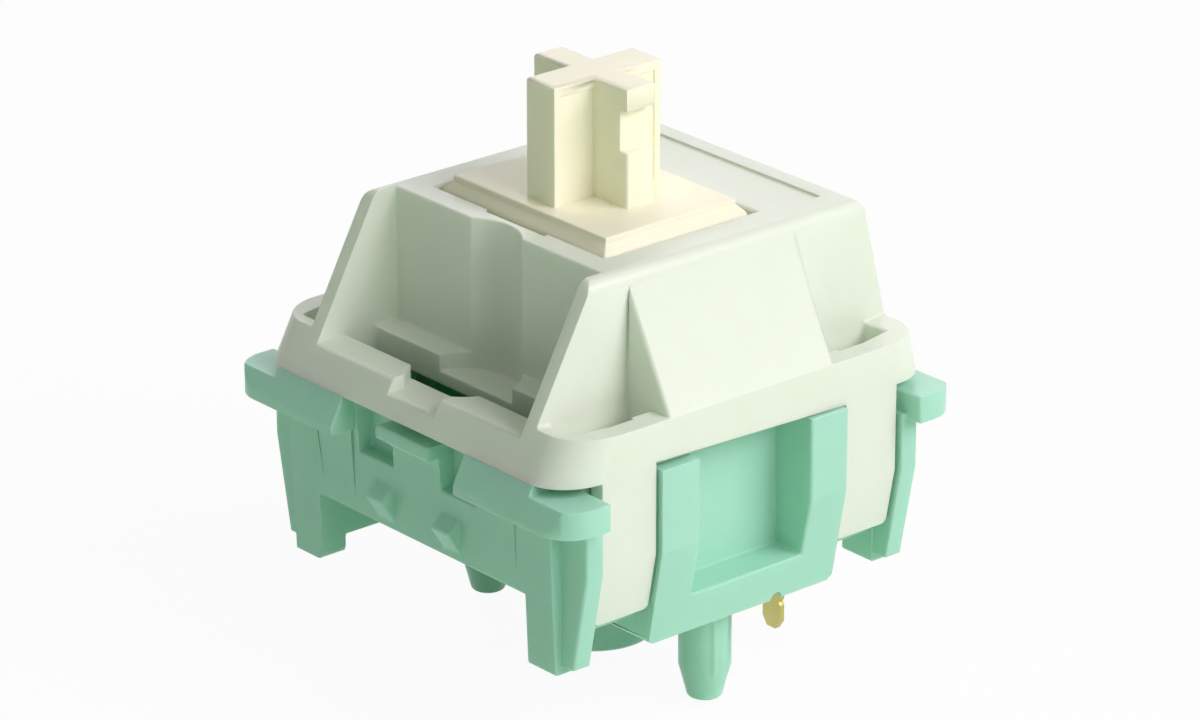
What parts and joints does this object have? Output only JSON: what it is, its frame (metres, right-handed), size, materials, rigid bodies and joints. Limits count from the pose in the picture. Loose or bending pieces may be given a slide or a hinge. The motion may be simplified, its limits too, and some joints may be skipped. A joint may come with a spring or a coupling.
{
  "type": "mechanical keyboard switch",
  "caption": "Mechanical keyboard switch with a square clip-in housing, a cross stem on a spring, a light window, solder pins, a centre post and board pegs.",
  "frame": {"origin": "centre of the footprint on the circuit board's top face: the axis of the centre post, where the board's top face meets the housing", "axes": "+Z towards the keycap, -Y towards the side with the light window, +X towards the clip frame beside the fixed contact's solder pin"},
  "size_m": [0.0156, 0.0156, 0.0187],
  "materials": {
    "mint_plastic": "moulded mint green plastic, satin to glossy",
    "pale_plastic": "moulded pale green-white plastic, satin",
    "cream_plastic": "moulded cream low-friction plastic, fine matt",
    "spring_steel": "bright drawn spring wire",
    "contact_brass": "stamped brass-coloured strip, lightly burnished",
    "contact_gold": "gold-plated contact point"
  },
  "bodies": {
    "housing": {"bottom_housing": "mint_plastic", "top_housing": "pale_plastic", "fixed_contact": "contact_brass", "fixed_contact_tip": "contact_gold", "moving_contact": "contact_brass", "return_spring": "spring_steel"},
    "stem": {"stem": "cream_plastic"},
    "leaf_tip": {"moving_contact_tip": "contact_gold"}
  },
  "joints": [
    {"name": "stem_slide", "type": "slide", "parent": "housing", "child": "stem", "axis": [0, 0, -1], "range_m": [0, 0.004], "stiffness_N_per_m": 62.5, "springref_m": -0.0056, "deforming": ["return_spring"]},
    {"name": "contact_close", "type": "slide", "parent": "housing", "child": "leaf_tip", "axis": [0, -1, 0], "range_m": [0, 0.0003], "deforming": ["moving_contact"]}
  ],
  "couplings": [
    {"joint": "contact_close", "follows": "stem_slide", "ratio": 0.07}
  ]
}
